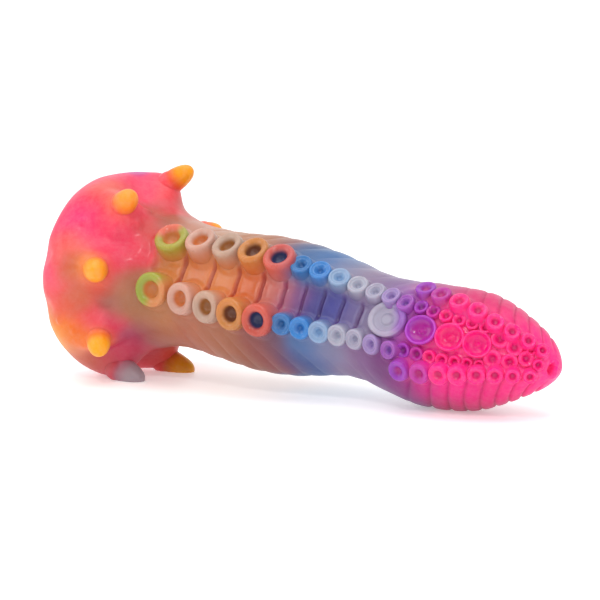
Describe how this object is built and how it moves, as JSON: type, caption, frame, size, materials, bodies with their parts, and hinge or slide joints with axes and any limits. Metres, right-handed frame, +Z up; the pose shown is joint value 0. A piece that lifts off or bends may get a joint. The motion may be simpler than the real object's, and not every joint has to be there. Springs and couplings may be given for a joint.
{
  "type": "tentacle-shaped silicone adult toy",
  "caption": "Tapered tentacle-shaped adult toy of soft multicolour silicone, with rows of sucker cups, a ribbed bulb at the tip and a flared, horned base.",
  "frame": {"origin": "on the surface it lies on, under the middle of its bounding box", "axes": "+X from the flared base to the tip, +Z up, with the sucker side facing -Y and a little upwards"},
  "size_m": [0.2167, 0.0898, 0.0852],
  "materials": {
    "pink": "satin silicone",
    "yellow": "satin silicone",
    "tan": "satin silicone",
    "coral": "satin silicone",
    "blue": "satin silicone",
    "lavender": "satin silicone",
    "magenta": "satin silicone",
    "lime": "satin silicone",
    "shell": "satin silicone",
    "amber": "satin silicone",
    "white": "satin silicone",
    "purple": "satin silicone"
  },
  "bodies": {
    "base": {"suction_cup": "pink", "base_dome": "pink", "horn_1": "yellow", "horn_2": "yellow", "horn_3": "yellow", "horn_4": "yellow", "horn_5": "yellow", "horn_6": "yellow", "horn_7": "yellow", "horn_8": "yellow", "shaft_root": "tan", "upper_sucker_1": "lime", "upper_sucker_2": "shell", "lower_sucker_1": "lime", "lower_sucker_2": "shell", "shaft_belly": "coral", "upper_sucker_3": "shell", "lower_sucker_3": "shell"},
    "middle": {"shaft_middle": "blue", "upper_sucker_4": "amber", "upper_sucker_5": "coral", "upper_sucker_6": "blue", "upper_sucker_7": "blue", "lower_sucker_4": "amber", "lower_sucker_5": "coral", "lower_sucker_6": "blue", "lower_sucker_7": "blue", "shaft_neck": "lavender"},
    "tip": {"bulb": "magenta", "upper_sucker_8": "white", "upper_sucker_9": "white", "upper_sucker_10": "white", "upper_sucker_11": "lavender", "upper_sucker_12": "purple", "lower_sucker_8": "white", "lower_sucker_9": "white", "lower_sucker_10": "white", "lower_sucker_11": "lavender", "lower_sucker_12": "purple", "middle_sucker_1": "lavender", "middle_sucker_2": "purple", "middle_sucker_3": "magenta", "middle_sucker_4": "magenta", "upper_border_sucker_1": "magenta", "upper_border_sucker_2": "magenta", "upper_border_sucker_3": "magenta", "upper_border_sucker_4": "magenta", "upper_border_sucker_5": "magenta", "upper_border_sucker_6": "magenta", "upper_border_sucker_7": "magenta", "upper_border_sucker_8": "magenta", "lower_border_sucker_1": "magenta", "lower_border_sucker_2": "magenta", "lower_border_sucker_3": "magenta", "lower_border_sucker_4": "magenta", "lower_border_sucker_5": "magenta", "lower_border_sucker_6": "magenta", "lower_border_sucker_7": "magenta", "lower_border_sucker_8": "magenta"}
  },
  "joints": [
    {"name": "shaft_flex", "type": "hinge", "parent": "base", "child": "middle", "pos_m": [-0.0205, 0.0007, 0.0339], "axis": [0, 0, 1], "range_deg": [-25, 25], "stiffness_Nm_per_rad": 1.2, "deforming": ["shaft_belly", "upper_sucker_3", "upper_sucker_4", "lower_sucker_3", "lower_sucker_4"]},
    {"name": "neck_flex", "type": "hinge", "parent": "middle", "child": "tip", "pos_m": [0.0232, 0.0007, 0.0293], "axis": [0, 0, 1], "range_deg": [-25, 25], "stiffness_Nm_per_rad": 0.6, "deforming": ["shaft_neck", "upper_sucker_7", "upper_sucker_8", "upper_sucker_9", "lower_sucker_7", "lower_sucker_8", "lower_sucker_9"]}
  ]
}
